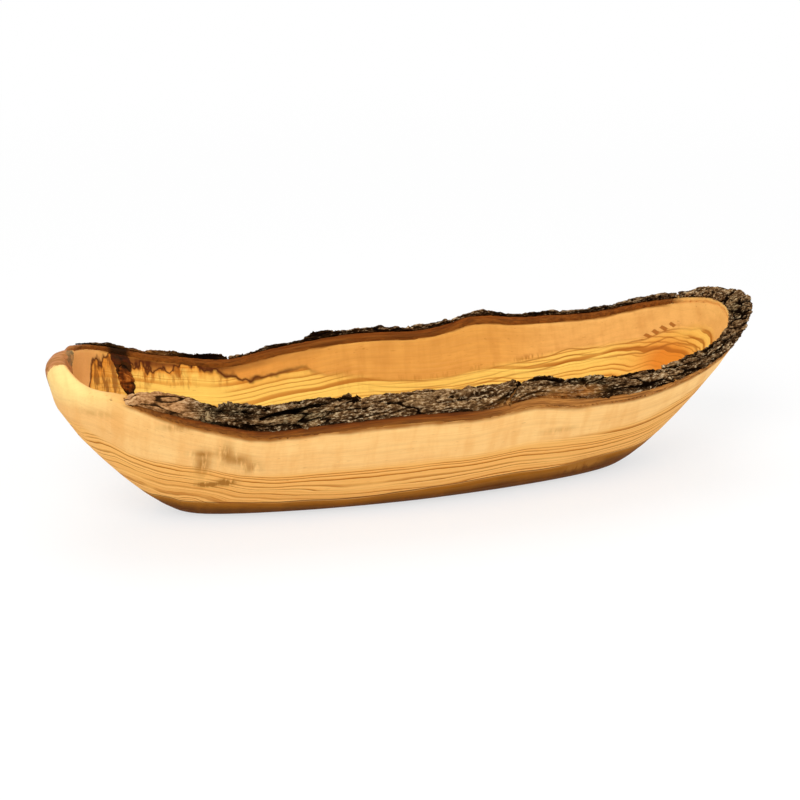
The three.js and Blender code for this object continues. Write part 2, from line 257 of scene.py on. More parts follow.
# %% [markdown]
# ## Copies with an even skin
# The packed solids have few, long facets. A voxel remesh of a merged copy gives an even skin of small
# quads at the same place, fine enough to carry relief and a value at every vertex.
# A few smoothing passes take out the ripple that voxels leave.

# %% Helper that copies a node with an even skin
MERGE_DISTANCE = 0.005 * MM
SMOOTHING_FACTOR = 0.5


def even_copy(node, name, voxel, smoothing):
    """A piece at the node's place, with quads about one voxel wide, in millimetres."""
    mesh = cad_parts[node].data.copy()
    merged = bmesh.new()
    merged.from_mesh(mesh)
    bmesh.ops.remove_doubles(merged, verts=merged.verts, dist=MERGE_DISTANCE)
    merged.to_mesh(mesh)
    merged.free()
    piece = bpy.data.objects.new(name, mesh)
    bpy.context.scene.collection.objects.link(piece)
    remesh = piece.modifiers.new("even", "REMESH")
    remesh.mode = "VOXEL"
    remesh.voxel_size = voxel * MM
    smooth = piece.modifiers.new("smooth", "SMOOTH")
    smooth.factor = SMOOTHING_FACTOR
    smooth.iterations = smoothing
    graph = bpy.context.evaluated_depsgraph_get()
    piece.data = bpy.data.meshes.new_from_object(piece.evaluated_get(graph))
    piece.modifiers.clear()
    piece.data.name = name
    piece.data.materials.clear()
    piece.data.shade_smooth()
    bpy.data.meshes.remove(mesh)
    return piece


def skin_of(piece):
    """Each vertex's place in millimetres and the way the skin faces there, read before any is moved."""
    return [(vertex.co / MM, vertex.normal.copy()) for vertex in piece.data.vertices]


def move_skin(piece, points):
    piece.data.vertices.foreach_set("co", [c * MM for point in points for c in point])
    piece.data.update()


def set_values(piece, name, values):
    attribute = piece.data.attributes.new(name, "FLOAT", "POINT")
    attribute.data.foreach_set("value", values)


def set_vectors(piece, name, vectors):
    attribute = piece.data.attributes.new(name, "FLOAT_VECTOR", "POINT")
    attribute.data.foreach_set("vector", [c for vector in vectors for c in vector])


def settle(piece, node, material):
    """The piece stands for its node, rides on the bowl and takes its finish."""
    piece.data.materials.append(material)
    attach(piece, "root")
    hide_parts(node)
    print(piece.name, "has", len(piece.data.polygons), "faces")


print("corners closer than this are merged, mm:", MERGE_DISTANCE / MM)

# %% [markdown]
# ## Soft patches and lines
# Stains, lichen and dark pockets lie where the tree or the weather left them, and a few patches paint
# shade under the lip, under the overhanging bark and on the bottom of the bowl. Each is written as a soft
# patch with a place, a reach and a strength, or as a line with a reach, in the bowl's own millimetres.
# A painted mask could not be rerun, and a value at each vertex is as fine as the skin itself.

# %% Helpers for patches and lines
PATCH_END = 2.5


def patches_at(point, patches):
    """Sum of soft patches at a point: each has a middle, a reach along x, y and z, and a strength."""
    total = 0.0
    for middle, reach, strength in patches:
        if abs(point[0] - middle[0]) < PATCH_END * reach[0]:
            away = sum(((a - b) / c) ** 2 for a, b, c in zip(point, middle, reach))
            total += strength * math.exp(-away)
    return total


def line_distance(point, line):
    """Distance from a point to a line through a few points, and how far along it, from 0 to 1."""
    best = (math.inf, 0.0)
    for step, (start, end) in enumerate(zip(line, line[1:])):
        start, end = Vector(start), Vector(end)
        span = end - start
        share = min(1.0, max(0.0, (point - start).dot(span) / span.length_squared))
        away = (point - start - span * share).length
        best = min(best, (away, (step + share) / (len(line) - 1)))
    return best


POCKET_LINE = [(-148.8, 35, 87), (-147.5, 33, 79), (-146, 31, 72), (-144.2, 28, 63)]
POCKET_TOP = 7.2
POCKET_FOOT = 4.4
POCKET_DARK = 0.55
POCKET_END = 1.15


def pocket_at(point):
    """How dark the bark pocket on the far wall is: wide at the rim, narrow at its foot."""
    away, down = line_distance(point, POCKET_LINE)
    half_width = POCKET_TOP + (POCKET_FOOT - POCKET_TOP) * down
    return smoothstep(POCKET_END, POCKET_DARK, away / half_width)


print("pocket at the rim and at its foot:", [round(pocket_at(Vector(p)), 2) for p in POCKET_LINE])

# %% [markdown]
# ## Fibre
# Wood and inner bark are both bundles of fibre that run along the log, seen as hair-fine streaks.
# It is the same effect at different strengths, so it is a node group: noise stretched along the log.

# %% Node group: fibre
w, given, result = new_group(
    "fibre",
    {"Log": "Vector", "Length": "Float", "Width": "Float"},
    {"Streak": "Float"},
)
width = given["Width"]
sizes = w.node("ShaderNodeCombineXYZ", {0: given["Length"], 1: width, 2: width}).outputs[0]
divided = w.node("ShaderNodeVectorMath", {0: given["Log"], 1: sizes}, operation="DIVIDE").outputs[0]
w.feed(result["Streak"], w.smooth(w.noise(divided, 3.0, 0.6), 0.3, 0.7))
print("group fibre has", len(w.tree.nodes), "nodes")

# %% [markdown]
# ## Rings and heartwood
# Olive is known for its figure: dark, wandering ring lines in golden heartwood, under a paler sapwood.
# Rings could be painted, but cut surfaces would not agree where they meet. Here they come from the depth
# in the log, bent by slow noise, so the same ring shows inside, outside and round both ends.
# Where the heartwood's edge is crisp, strong noise makes that edge meander and pinch off islands.

# %% Olive rings: depth in the log
w, given, result = new_group(
    "olive_rings",
    {"Log": "Vector", "Heart Depth": "Float", "Crisp": "Float", "Core Rise": "Float"},
    {
        "Heart": "Float", "Edge": "Float", "Outline": "Float", "Streaks": "Float", "Hanging": "Float",
        "Dashes": "Float", "Brink": "Float", "Broad": "Float", "Shade": "Float", "Lines": "Float",
        "Fine": "Float", "Core": "Float", "Core Line": "Float",
    },
)
log = given["Log"]
crisp = given["Crisp"]
depth = w.node("ShaderNodeSeparateXYZ", {0: log}).outputs[2]
slow = w.sway(log, (120, 34, 60), 16, seed=1.0)
bend = w.sway(log, (45, 14, 20), 3.5, seed=2.0)
tremble = w.sway(log, (9, 5, 6), 0.7, seed=3.0)
near_depth = w.math("ADD", depth, tremble)
ring_depth = w.math("ADD", w.math("ADD", near_depth, bend), slow)
print("outputs of olive_rings:", ", ".join(socket.name for socket in result if socket.name))

# %% Olive rings: edge of the heartwood
# The heartwood starts at its own depth, sharply where it is crisp and softly elsewhere
fingers = w.math("MULTIPLY", w.sway(log, (3.4, 9, 8), 12, seed=15.0), w.math("POWER", crisp, 3.0))
meander = w.math("MULTIPLY", w.sway(log, (11, 9, 9), 18, seed=11.0), crisp)
level = w.math("SUBTRACT", near_depth, given["Heart Depth"])
within = w.math("ADD", level, w.math("ADD", meander, fingers))
soft = w.smooth(crisp, 0.0, 1.0, 2.5, 0.4)
w.feed(result["Heart"], w.smooth(w.math("DIVIDE", within, soft), -1.0, 1.0))
w.feed(result["Edge"], w.math("MULTIPLY", w.smooth(within, 7.0, 0.0), crisp))
thickness = w.smooth(w.noise(w.stretch(log, (9, 9, 9)), 2.0, 0.5, 12.0), 0.3, 0.7, 1.1, 3.2)
outline = w.math("MULTIPLY", w.ridge(within, -0.4, thickness), w.smooth(crisp, 0.15, 0.55))
w.feed(result["Outline"], outline)
print("nodes up to the heartwood's edge:", len(w.tree.nodes))

# %% Olive rings: marks at that edge
# Dark streaks hang from a crisp edge across the grain, and short dashes stand on a soft one
hang = w.smooth(w.noise(w.stretch(log, (2.4, 15, 11)), 3.0, 0.6, 14.0), 0.46, 0.6)
grouped = w.smooth(w.noise(w.stretch(log, (20, 40, 40)), 2.0, 0.5, 18.0), 0.48, 0.62)
reach = w.math("MULTIPLY", w.smooth(within, -0.5, 1.0), w.smooth(within, 12.0, 3.0))
streaks = w.math("MULTIPLY", w.math("MULTIPLY", hang, reach), crisp)
w.feed(result["Streaks"], w.math("MULTIPLY", streaks, grouped))
w.feed(result["Hanging"], hang)
standing = w.math("MULTIPLY", hang, w.ridge(level, -1.2, 2.6))
w.feed(result["Dashes"], w.math("MULTIPLY", standing, grouped))

# A soft edge is drawn by a few thin lines that come and go
come_and_go = w.smooth(w.noise(w.stretch(log, (60, 20, 10)), 2.0, 0.5, 4.0), 0.32, 0.55, 0.25, 1.0)
wavy_level = w.math("ADD", level, w.sway(log, (30, 16, 16), 4.0, seed=19.0))
brink = w.ridge(wavy_level, 0.4, 0.7)
for place, width in ((3.6, 0.6), (6.4, 0.8)):
    brink = w.math("MAXIMUM", brink, w.ridge(wavy_level, place, width))
w.feed(result["Brink"], w.math("MULTIPLY", brink, come_and_go))
print("nodes up to the marks:", len(w.tree.nodes))

# %% Olive rings: rings and core
RING_SPACING = 2.4
BROAD_SPACING = 7.0
FINE_SPACING = 1.2
CORE_DEPTH = 50.0

# Each ring darkens slowly and ends at once; rings differ in strength, and come and go along the log
in_broad = w.math("DIVIDE", ring_depth, BROAD_SPACING)
w.feed(result["Broad"], w.smooth(w.line_noise(in_broad, 2.0, 0.6), 0.32, 0.68))
uneven = w.math("MULTIPLY", w.line_noise(in_broad), 3.2)
ring = w.math("ADD", w.math("DIVIDE", ring_depth, RING_SPACING), uneven)
share = w.math("FRACT", ring)
ring_end = w.smooth(share, 1.0, 0.95)
number = w.math("FLOOR", ring)
strength = w.node("ShaderNodeTexWhiteNoise", {"W": number}, noise_dimensions="1D").outputs["Value"]
weight = w.math("MULTIPLY", w.smooth(strength, 0.1, 0.7, 0.15, 1.0), come_and_go)
ended = w.math("MULTIPLY", weight, ring_end)
w.feed(result["Shade"], w.math("MULTIPLY", w.smooth(share, 0.2, 0.9), ended))
w.feed(result["Lines"], w.math("MULTIPLY", w.smooth(share, 0.5, 0.93), ended))
in_fine = w.math("DIVIDE", ring_depth, FINE_SPACING)
w.feed(result["Fine"], w.smooth(w.line_noise(in_fine, 2.0, 0.6), 0.3, 0.7))

# The core of the log is brown and starts with one dark line
core_sway = w.math("ADD", w.sway(log, (60, 30, 60), 8, seed=16.0), given["Core Rise"])
into_core = w.math("SUBTRACT", w.math("ADD", depth, core_sway), CORE_DEPTH)
w.feed(result["Core"], w.smooth(into_core, 0.0, 10.0))
w.feed(result["Core Line"], w.ridge(into_core, 0.0, 0.8))
print("group olive_rings has", len(w.tree.nodes), "nodes")

# %% [markdown]
# ## Carved wood
# The wood is sanded and oiled, so it has a soft satin sheen and its colour runs deep. Sapwood is pale on
# the outside; the heartwood is gold with brown lines. Each vertex knows its place in the log, how deep
# the heartwood starts there and how crisp its edge is, what the tree and the weather did to it, and where
# light and shade are painted on it: a highlight on the lip, shade at the nose, under the bark and below.
# The oil is a thin coat over the wood. It is left off the dark core, where it would veil the colour.

# %% Carved wood: values at its vertices
HEART_INSIDE = [
    (-185, 26), (-169, 24), (-163, 6), (-150, 4.5), (-138, 6), (-125, 4), (-112, 3), (-97, 3.5), (-88, 6),
    (-74, 10), (-60, 11.5), (-47, 10), (-30, 17), (10, 22.5), (55, 24.5), (88, 20),
    (110, 17), (146, 17), (168, 12.5), (182, 10),
]
HEART_OUTSIDE = [(-185, 24), (-150, 33), (-118, 30), (-40, 27), (50, 25), (125, 22), (165, 16)]
CRISP_INSIDE = [(-180, 1), (-104, 1), (-92, 0.6), (-60, 0.45), (-30, 0.25), (20, 0.12), (190, 0.1)]
RED_INSIDE = [(-156, 0), (-148, 1), (-95, 1), (-78, 0.6), (-45, 0.25), (-20, 0)]
LIP_ALONG = [(-180, 1), (-170, 0.75), (-160, 0.45), (-148, 0)]
STAINS_AND_SHADE = [
    ((-117, -37, 44), (4, 14, 9), 0.9),
    ((-118, -40, 51), (7, 14, 2), 0.5),
    ((-106, -44, 51), (4, 14, 7), 0.8),
    ((-99, -43, 46), (6, 14, 4), 0.8),
    ((-92, -41, 40), (5, 14, 4), 0.7),
    ((-114, -31, 28), (5, 14, 1.6), 2.2),
    ((-104, -31, 30), (4, 14, 2.4), 2.2),
    ((-130, -46, 69), (9, 9, 2.5), 0.7),
    # Painted shade under the lip's overhang at the nose; the other entries are stains
    ((-170, -32, 75), (9, 9, 2), 0.35),
    ((75, -46, 45), (11, 9, 2), 0.35),
    ((96, -24, 13), (12, 9, 4), 1.8),
]
LEAF_ROOT = Vector((143.5, 27.6, 62.1))
LEAF_ROW = Vector((26.0, -6.6, 12.4))
WARM_SPOTS = [((158, 12, 54), (22, 18, 15), 1.3), ((105, 18, 34), (30, 14, 9), 0.7)]
# The core rises on the near side's lower wall, where its brown also paints shade on the bowl's bottom
CORE_RISES = [
    ((108, -20, 12), (26, 16, 12), 7.0),
    ((32, -30, 14), (58, 20, 16), 5.0),
    ((-135, -5, 22), (52, 45, 32), -13.0),
]
NOSE_GROWTH = [((-176, 13, 92), (2.3, 9, 8), 1.1)]
NOSE_BAST_EDGE = 4.3
# Where a soft value starts and where it is full, in millimetres; towards the nose, x counts leftwards
NOSE_BARE = (152, 162)
NOSE_TOP = (174, 177)
RIM_TOP = (76, 82)
LIP_HEIGHT = (73, 83)
LIP_SIDE = (26, 10)
TAN_WALL = (156, 166)
FIGURED = (142, 153)
PALE_END = (60, 115)
CLEAN_END = (158, 168)
LEAFY_SIDE = (0, 6)
WOOD_VOXEL = 1.38
WOOD_SMOOTHING = 9


def wood_values(point, facing):
    """What the finish needs to know at one point of the wood, mostly from 0 to 1."""
    x, y, z = point
    inside = smoothstep(-0.1, 0.25, facing.z)
    wall = smoothstep(0.3, 0.7, facing.x)
    outer_heart = along_knots(HEART_OUTSIDE, x)
    top = smoothstep(*RIM_TOP, z) * smoothstep(*NOSE_TOP, -x)
    lip = smoothstep(*LIP_HEIGHT, z) * smoothstep(*LIP_SIDE, y)
    bare = smoothstep(*NOSE_BARE, -x)
    leaf_along = (point - LEAF_ROOT).dot(LEAF_ROW) / LEAF_ROW.length_squared
    leaf_across = z - LEAF_ROOT.z - leaf_along * LEAF_ROW.z
    return {
        "heart_depth": outer_heart + (along_knots(HEART_INSIDE, x) - outer_heart) * inside,
        "crisp": inside * along_knots(CRISP_INSIDE, x),
        "inside": inside,
        "tan": inside * wall * smoothstep(*TAN_WALL, -x),
        "lip": (1 - wall) * along_knots(LIP_ALONG, x) * lip,
        "bare": bare,
        "clean": max(bare, inside * smoothstep(*CLEAN_END, x)),
        "red": inside * along_knots(RED_INSIDE, x),
        "figure": inside * smoothstep(*FIGURED, -x),
        "pale": smoothstep(*PALE_END, x),
        "warm": inside * patches_at(point, WARM_SPOTS),
        "core_rise": patches_at(point, CORE_RISES),
        "pocket": pocket_at(point),
        "stain": (1 - inside) * patches_at(point, STAINS_AND_SHADE),
        "leaf_along": leaf_along,
        "leaf_across": leaf_across,
        "leafy": inside * smoothstep(*LEAFY_SIDE, y),
        "bast": top * smoothstep(-4, 4, y + NOSE_BAST_EDGE),
        "growth": patches_at(point, NOSE_GROWTH),
    }


wood = even_copy("wood_body", "carved_wood", WOOD_VOXEL, WOOD_SMOOTHING)
skin = skin_of(wood)
set_vectors(wood, "log", [log_place(*point) for point, facing in skin])
rows = [wood_values(point, facing) for point, facing in skin]
for name in rows[0]:
    set_values(wood, name, [row[name] for row in rows])
print("values at each vertex of the wood:", ", ".join(rows[0]))

# %% Carved wood: patterns of its finish
WOOD_ROUGHNESS = 0.5
WOOD_GLOSS = 0.01
OIL_SHEEN = 0.08
OIL_ROUGHNESS = 0.5
wood_finish, w, shader = new_material("oiled_olive_wood", WOOD_ROUGHNESS, WOOD_GLOSS)
shader["Coat Roughness"].default_value = OIL_ROUGHNESS
log = w.attribute("log", "Vector")
depth = w.node("ShaderNodeSeparateXYZ", {0: log}).outputs[2]
crisp = w.attribute("crisp")
inside = w.attribute("inside")
bare = w.attribute("bare")
rings = use_group(w, "olive_rings", {
    "Log": log,
    "Crisp": crisp,
    "Heart Depth": w.attribute("heart_depth"),
    "Core Rise": w.attribute("core_rise"),
})
heart = rings["Heart"]
figure = w.attribute("figure")
hair = use_group(w, "fibre", {"Log": log, "Length": 28.0, "Width": 0.7})["Streak"]
strand = use_group(w, "fibre", {"Log": log, "Length": 12.0, "Width": 1.6})["Streak"]
cloud = w.smooth(w.noise(w.stretch(log, (26, 12, 7)), 3.0, 0.6, 6.0), 0.36, 0.64)
curl = w.smooth(w.noise(w.stretch(log, (6, 40, 30)), 3.0, 0.6, 7.0), 0.4, 0.7)
flecks = w.smooth(w.noise(w.stretch(log, (4.5, 0.8, 0.8)), 2.0, 0.5, 5.0), 0.66, 0.74)
smudge = w.smooth(w.noise(w.stretch(log, (4, 20, 20)), 3.0, 0.65, 8.0), 0.32, 0.55)
mottle = w.smooth(w.noise(w.stretch(log, (2.5, 2.5, 2.5)), 3.0, 0.6, 10.0), 0.35, 0.6)
frayed = w.smooth(w.noise(w.stretch(log, (4, 2, 2)), 3.0, 0.6, 17.0), 0.3, 0.7, -0.22, 0.22)


def frayed_edge(name):
    """A mask with a crisp, frayed edge from a soft value at the vertices."""
    return w.smooth(w.math("ADD", w.attribute(name), frayed), 0.42, 0.58)


print("patterns of the wood are ready")

# %% Carved wood: a row of leaf-shaped flecks
LEAF_SPACING = 5.2
LEAF_WIDTH = 1.35
LEAF_DROP = 2.0

# The row climbs the wall. Each fleck drops against the row, so it lies level and the row is stepped
along = w.attribute("leaf_along")
leaf_place = w.math("FRACT", w.math("MULTIPLY", along, LEAF_ROW.length / LEAF_SPACING))
leaf_root = w.smooth(leaf_place, 0.0, 0.45)
leaf_width = w.math("MULTIPLY", leaf_root, w.smooth(leaf_place, 1.0, 0.4, 0.0, LEAF_WIDTH))
row_ends = w.math("MULTIPLY", w.smooth(along, 0.0, 0.35), w.smooth(along, 1.0, 0.75))
row_ends = w.math("MULTIPLY", row_ends, w.attribute("leafy"))
leaf_off = w.math("ADD", w.attribute("leaf_across"), w.math("MULTIPLY", leaf_place, LEAF_DROP))
leaf_room = w.math("SUBTRACT", w.math("MULTIPLY", leaf_width, row_ends), w.math("ABSOLUTE", leaf_off))
leaf = w.smooth(w.math("ADD", leaf_room, frayed), -0.25, 0.3)
leaf = w.math("MULTIPLY", leaf, w.smooth(row_ends, 0.1, 0.4))
print("flecks in the row:", round(LEAF_ROW.length / LEAF_SPACING, 1))

# %% Carved wood: palette
SAPWOOD = rgb(0.965, 0.615, 0.235)
SAPWOOD_STREAK = rgb(0.82, 0.42, 0.13)
LIP_PALE_AND_HIGHLIGHT = rgb(0.965, 0.67, 0.25)
NOSE_TAN = rgb(0.76, 0.36, 0.112)
INNER_SAPWOOD = rgb(0.77, 0.37, 0.075)
INNER_PALE = rgb(0.85, 0.455, 0.125)
INNER_SHADE = rgb(0.50, 0.19, 0.03)
RED_BROWN = rgb(0.13, 0.025, 0.003)
RED_DARK = rgb(0.075, 0.014, 0.002)
HEART_GOLD = rgb(1.0, 0.74, 0.17)
OUTER_GOLD = rgb(0.97, 0.58, 0.18)
HEART_DEEP = rgb(0.72, 0.26, 0.024)
EDGE_ORANGE = rgb(0.72, 0.24, 0.022)
CORE_AND_SHADE_BROWN = rgb(0.40, 0.15, 0.010)
CORE_AND_SHADE_DARK = rgb(0.085, 0.02, 0.001)
RING_BROWN = rgb(0.33, 0.092, 0.006)
OUTLINE_BROWN = rgb(0.075, 0.014, 0.0015)
BARK_STAIN = rgb(0.30, 0.105, 0.016)
STAIN_AND_SHADE_BROWN = rgb(0.38, 0.16, 0.026)
POCKET_BLACK = rgb(0.014, 0.006, 0.002)
BAST_SALMON = rgb(0.56, 0.225, 0.09)
NOSE_GREY = rgb(0.20, 0.13, 0.055)
print("sapwood", SAPWOOD[:3], "and heartwood", HEART_GOLD[:3])

# %% Carved wood: sapwood and heartwood
sap = w.mix(inside, SAPWOOD, w.mix(w.attribute("pale"), INNER_SAPWOOD, INNER_PALE))
sap_shade = w.mix(inside, SAPWOOD_STREAK, INNER_SHADE)
sap = w.tint(sap, cloud, w.smooth(inside, 0.0, 1.0, 0.3, 0.24), sap_shade)
sap = w.tint(sap, rings["Fine"], 0.14, SAPWOOD_STREAK)
# Painted shade: the sapwood at the bare nose end is darkened where the left end turns away from the light
sap = w.tint(sap, bare, 0.45, SAPWOOD_STREAK)
sap = w.tint(sap, w.attribute("tan"), w.smooth(mottle, 0.0, 1.0, 1.0, 0.8), NOSE_TAN)
# Painted highlight: the rounded lip at the nose is paler wood and also carries a painted yellow highlight
sap = w.tint(sap, w.attribute("lip"), 1.0, LIP_PALE_AND_HIGHLIGHT)
sap = w.tint(sap, w.attribute("red"), 0.5, EDGE_ORANGE)
near_bark = w.smooth(w.math("ADD", depth, w.sway(log, (14, 6, 6), 4.0, 13.0)), 6.5, 2.0)
red_band = w.math("MULTIPLY", w.attribute("red"), near_bark)
sap = w.tint(sap, red_band, 0.95, w.mix(strand, RED_BROWN, RED_DARK))
gold = w.mix(inside, OUTER_GOLD, HEART_GOLD)
gold = w.tint(gold, rings["Broad"], 0.28, HEART_DEEP)
gold = w.tint(gold, rings["Fine"], 0.24, HEART_DEEP)
gold = w.tint(gold, rings["Shade"], 0.6, HEART_DEEP)
gold = w.tint(gold, w.attribute("warm"), 0.9, EDGE_ORANGE)
gold = w.tint(gold, rings["Edge"], 0.8, EDGE_ORANGE)
gold = w.tint(gold, figure, 0.55, EDGE_ORANGE)
gold = w.tint(gold, rings["Streaks"], 0.9, RING_BROWN)
gold = w.tint(gold, w.math("MULTIPLY", figure, rings["Hanging"]), 0.7, RED_BROWN)
colour = w.mix(heart, sap, gold)
print("nodes up to the two woods:", len(w.tree.nodes))

# %% Carved wood: lines, core and stains
by_crispness = w.smooth(crisp, 0.1, 1.0, 1.0, 0.3)
line_strength = w.math("MULTIPLY", w.smooth(heart, 0.0, 1.0, 0.08, 0.95), by_crispness)
line_strength = w.math("MULTIPLY", line_strength, w.smooth(inside, 0.0, 1.0, 1.0, 0.75))
colour = w.tint(colour, rings["Lines"], line_strength, RING_BROWN)
colour = w.tint(colour, w.math("MULTIPLY", rings["Dashes"], inside), 0.6, RING_BROWN)
brink_strength = w.math("MULTIPLY", inside, w.smooth(crisp, 0.26, 0.14, 0.0, 0.7))
colour = w.tint(colour, rings["Brink"], brink_strength, RING_BROWN)
# The core's brown is partly the log's darker core and partly painted shade on the bottom, strongest
# outside
core_and_shade = w.mix(rings["Core"], CORE_AND_SHADE_BROWN, CORE_AND_SHADE_DARK)
core_and_shade = w.tint(core_and_shade, strand, 0.35, CORE_AND_SHADE_DARK)
core_and_shade_strength = w.smooth(inside, 0.0, 1.0, 0.93, 0.3)
colour = w.tint(colour, w.smooth(rings["Core"], 0.0, 0.03), core_and_shade_strength, core_and_shade)
colour = w.tint(colour, rings["Core Line"], core_and_shade_strength, CORE_AND_SHADE_DARK)
colour = w.tint(colour, hair, 0.08, RING_BROWN)
curl_shade = w.mix(inside, HEART_DEEP, INNER_SHADE)
colour = w.tint(colour, curl, w.smooth(heart, 0.0, 1.0, 0.24, 0.06), curl_shade)
colour = w.tint(colour, flecks, 0.35, RING_BROWN)
colour = w.tint(colour, rings["Outline"], 0.95, OUTLINE_BROWN)
colour = w.tint(colour, leaf, 0.85, RING_BROWN)
# Stains, and painted shade just under the lip at the nose
colour = w.tint(colour, w.attribute("stain"), smudge, STAIN_AND_SHADE_BROWN)
# The band just under the bark is partly a bark stain and partly painted shadow under the bark's overhang
stain_and_shade_edge = w.math("ADD", depth, w.sway(log, (16, 8, 8), 3.0, 9.0))
stain_and_shade_depth = w.smooth(inside, 0.0, 1.0, 4.2, 2.0)
under_bark_stain_and_shade = w.smooth(w.math("DIVIDE", stain_and_shade_edge, stain_and_shade_depth), 1.0, 0.35)
colour = w.tint(colour, under_bark_stain_and_shade, w.smooth(w.attribute("clean"), 0.0, 1.0, 0.95, 0.0), BARK_STAIN)
colour = w.tint(colour, frayed_edge("bast"), 0.95, w.mix(strand, BAST_SALMON, BARK_STAIN))
colour = w.tint(colour, frayed_edge("growth"), w.smooth(mottle, 0.0, 1.0, 0.5, 1.0), NOSE_GREY)
colour = w.tint(colour, frayed_edge("pocket"), 0.97, w.mix(strand, POCKET_BLACK, RED_DARK))
w.feed(shader["Base Color"], colour)
w.feed(shader["Roughness"], w.smooth(hair, 0.0, 1.0, 0.45, 0.57))
w.feed(shader["Coat Weight"], w.smooth(rings["Core"], 0.0, 0.2, OIL_SHEEN, 0.0))
bump = w.node("ShaderNodeBump", {"Strength": 0.12, "Distance": 0.0002, "Height": hair})
w.feed(shader["Normal"], bump.outputs[0])
settle(wood, "wood_body", wood_finish)

# %% [markdown]
# ## Inner bark
# Between the wood and the crust lies a thin layer of red-brown fibre. It was cut together with the wood,
# so it is flush with both walls. Its copy reaches a little way down into the wood's eased edge, which
# closes the joint as on the real bowl, where nothing but the colour changes. At the nose the bark runs
# out, so both bark layers are drawn down into the wood there, on the near side with a ragged edge.

# %% Inner bark: where it runs out
NEAR_FEATHER = (-147, -160)
FAR_FEATHER = (-174, -183)
FEATHER_DEPTH = 4.5
FEATHER_TILT = 0.35
FEATHER_RAGS = 6
FEATHER_RAG_SIZE = 3.0


def radial_at(x, y, z):
    """Direction straight out of the log at a point, in millimetres."""
    return Vector((0, y - pith_at(x), z + PITH_DROP)).normalized()


def feather_at(point):
    """Outward vector to take from a place in the bark, which draws it down where the bark runs out."""
    thin, gone = NEAR_FEATHER if point.y < 0 else FAR_FEATHER
    aside = Vector((0, math.copysign(FEATHER_TILT, point.y), 0))
    ragged = FEATHER_RAGS * noise.noise(point / FEATHER_RAG_SIZE) if point.y < 0 else 0.0
    return (radial_at(*point) + aside) * FEATHER_DEPTH * smoothstep(-thin, -gone, ragged - point.x)


print("bark runs out at x, mm:", NEAR_FEATHER, "near and", FAR_FEATHER, "far")

# %% Inner bark: pieces
INNER_BARK_VOXEL = 0.6
INNER_BARK_SMOOTHING = 3
INNER_BARK_REACH = 1.8
INNER_BARK_DIVE = 1.4
INNER_BARK_SWELL = 0.12
FIBRE_SIZE = (16, 2.5, 1.2)
FIBRE_RELIEF = 0.3
# Starts and full places again: salmon at the nose, carved at the right end, fresh on the near side
SALMON = (168, 176)
CARVED = (164, 174)
FRESH_ALONG = (10, 70)
FRESH_SIDE = (0, -20)


def inner_bark(node, name):
    piece = even_copy(node, name, INNER_BARK_VOXEL, INNER_BARK_SMOOTHING)
    places, points = [], []
    values = {"pocket": [], "salmon": [], "carved": [], "fresh": []}
    for point, facing in skin_of(piece):
        place = log_place(*point)
        out = radial_at(*point)
        in_fibre = Vector([along / size for along, size in zip(place, FIBRE_SIZE)])
        lift = INNER_BARK_SWELL + FIBRE_RELIEF * noise.fractal(in_fibre, 0.8, 2.0, 3)
        downward = smoothstep(0.1, 0.8, -facing.dot(out))
        dive = Vector((facing.x, facing.y, 0)) * INNER_BARK_DIVE
        drawn = (out * INNER_BARK_REACH + dive) * downward
        points.append(point + facing * lift - drawn - feather_at(point))
        places.append(place)
        inward = facing.dot(Vector((-point.x, -point.y, 0)).normalized())
        fresh = smoothstep(*FRESH_ALONG, point.x) * smoothstep(*FRESH_SIDE, point.y)
        values["pocket"].append(pocket_at(point))
        values["salmon"].append(smoothstep(*SALMON, -point.x))
        values["carved"].append(smoothstep(*CARVED, point.x) * smoothstep(-0.2, 0.2, inward))
        values["fresh"].append(smoothstep(0.1, -0.3, inward) * fresh)
    move_skin(piece, points)
    set_vectors(piece, "log", places)
    for value, numbers in values.items():
        set_values(piece, value, numbers)
    return piece


near_bast = inner_bark("near_inner_bark", "near_bast")
far_bast = inner_bark("far_inner_bark", "far_bast")
print("inner bark vertices:", len(near_bast.data.vertices), len(far_bast.data.vertices))

# %% Inner bark: finish
BAST_DARK = rgb(0.05, 0.011, 0.002)
BAST_BROWN = rgb(0.25, 0.065, 0.008)
BAST_FRESH = rgb(0.60, 0.26, 0.06)
BAST_ROUGHNESS = 0.75
BAST_GLOSS = 0.06

bast_finish, w, shader = new_material("inner_bark_fibre", BAST_ROUGHNESS, BAST_GLOSS)
log = w.attribute("log", "Vector")
depth = w.node("ShaderNodeSeparateXYZ", {0: log}).outputs[2]
layer = w.math("ADD", depth, w.sway(log, (25, 12, 6), 2.5, 3.0))
strand = use_group(w, "fibre", {"Log": log, "Length": 26.0, "Width": 0.9})["Streak"]
colour = w.ramp(w.smooth(layer, -6.5, 1.0), [(0.0, BAST_DARK), (0.5, BAST_BROWN), (1.0, BARK_STAIN)])
colour = w.tint(colour, strand, 0.65, BAST_DARK)
colour = w.tint(colour, w.attribute("salmon"), 0.8, w.mix(strand, BAST_SALMON, BARK_STAIN))
colour = w.tint(colour, w.attribute("fresh"), w.smooth(strand, 0.0, 1.0, 0.85, 0.2), BAST_FRESH)
colour = w.tint(colour, w.attribute("carved"), 0.95, INNER_PALE)
colour = w.tint(colour, w.attribute("pocket"), 0.95, POCKET_BLACK)
w.feed(shader["Base Color"], colour)
bump = w.node("ShaderNodeBump", {"Strength": 0.5, "Distance": 0.0004, "Height": strand})
w.feed(shader["Normal"], bump.outputs[0])
settle(near_bast, "near_inner_bark", bast_finish)
settle(far_bast, "far_inner_bark", bast_finish)

